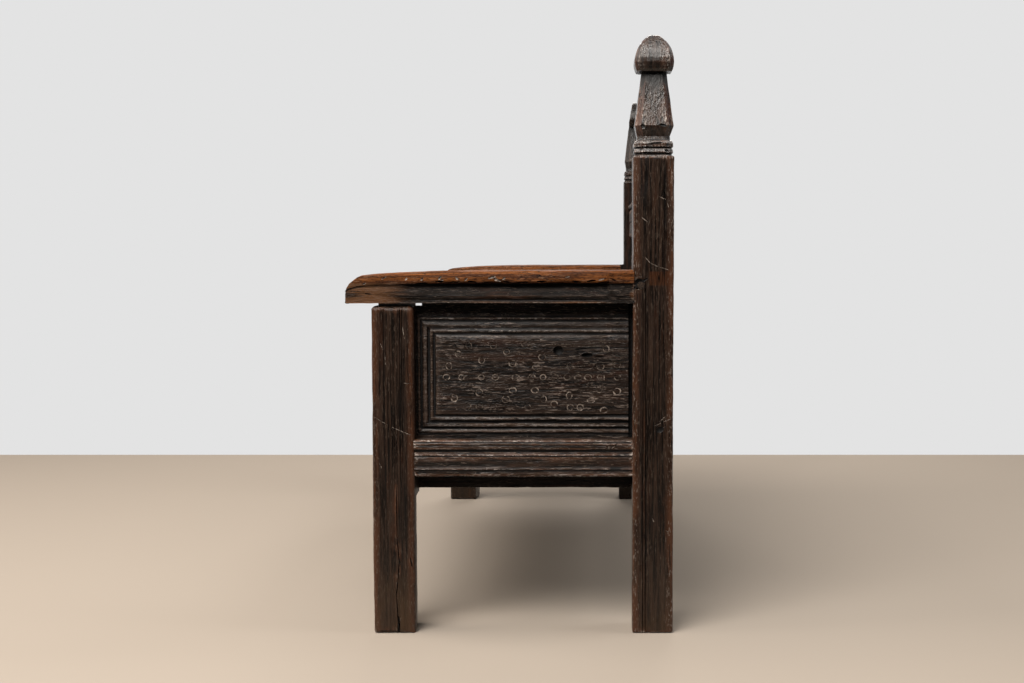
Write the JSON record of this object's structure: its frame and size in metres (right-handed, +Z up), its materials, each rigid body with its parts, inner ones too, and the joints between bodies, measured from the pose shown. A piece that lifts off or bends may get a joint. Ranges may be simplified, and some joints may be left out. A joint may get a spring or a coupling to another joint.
{
  "type": "settle bench",
  "caption": "Long wooden settle: a plank seat between panelled arms, and a panelled back whose tall posts end in carved knobs.",
  "frame": {"origin": "on the floor, under the middle of the whole outline", "axes": "+X along the seat towards the sitter's left, +Y from the front of the seat towards the back, +Z up"},
  "size_m": [1.551, 0.625, 1.1655],
  "materials": {
    "frame_wood": "old dark wax over hand-worked wood, worn brown on the edges",
    "arm_wood": "old dark wax, rubbed through to orange brown on the rounded edge",
    "panel_wood": "old dark wax with greyish grain, scratched borders and punched rings",
    "seat_wood": "old dark wax, polished by use",
    "peg_wood": "dark end grain",
    "forged_iron": "black hammered iron"
  },
  "bodies": {
    "root": {"arm_left": "arm_wood", "arm_pegs": "peg_wood", "arm_right": "arm_wood", "back_muntin_left": "frame_wood", "back_muntin_right": "frame_wood", "back_panel_left": "panel_wood", "back_panel_middle": "panel_wood", "back_panel_right": "panel_wood", "back_post_left": "frame_wood", "back_post_right": "frame_wood", "crest_rail": "frame_wood", "crest_rail_pegs": "peg_wood", "end_panel_left": "panel_wood", "end_panel_right": "panel_wood", "end_rail_left": "frame_wood", "end_rail_right": "frame_wood", "front_leg_left": "frame_wood", "front_leg_right": "frame_wood", "front_rail_pegs": "peg_wood", "front_seat_rail": "frame_wood", "lower_back_rail": "frame_wood", "lower_back_rail_pegs": "peg_wood", "muntin_pegs": "peg_wood", "rear_rail_pegs": "peg_wood", "rear_seat_rail": "frame_wood", "seat_bearer_left": "frame_wood", "seat_bearer_right": "frame_wood", "seat_board_front": "seat_wood", "seat_board_middle": "seat_wood", "seat_board_rear": "seat_wood", "seat_cross_bearer": "frame_wood", "seat_nails": "forged_iron"}
  },
  "joints": []
}
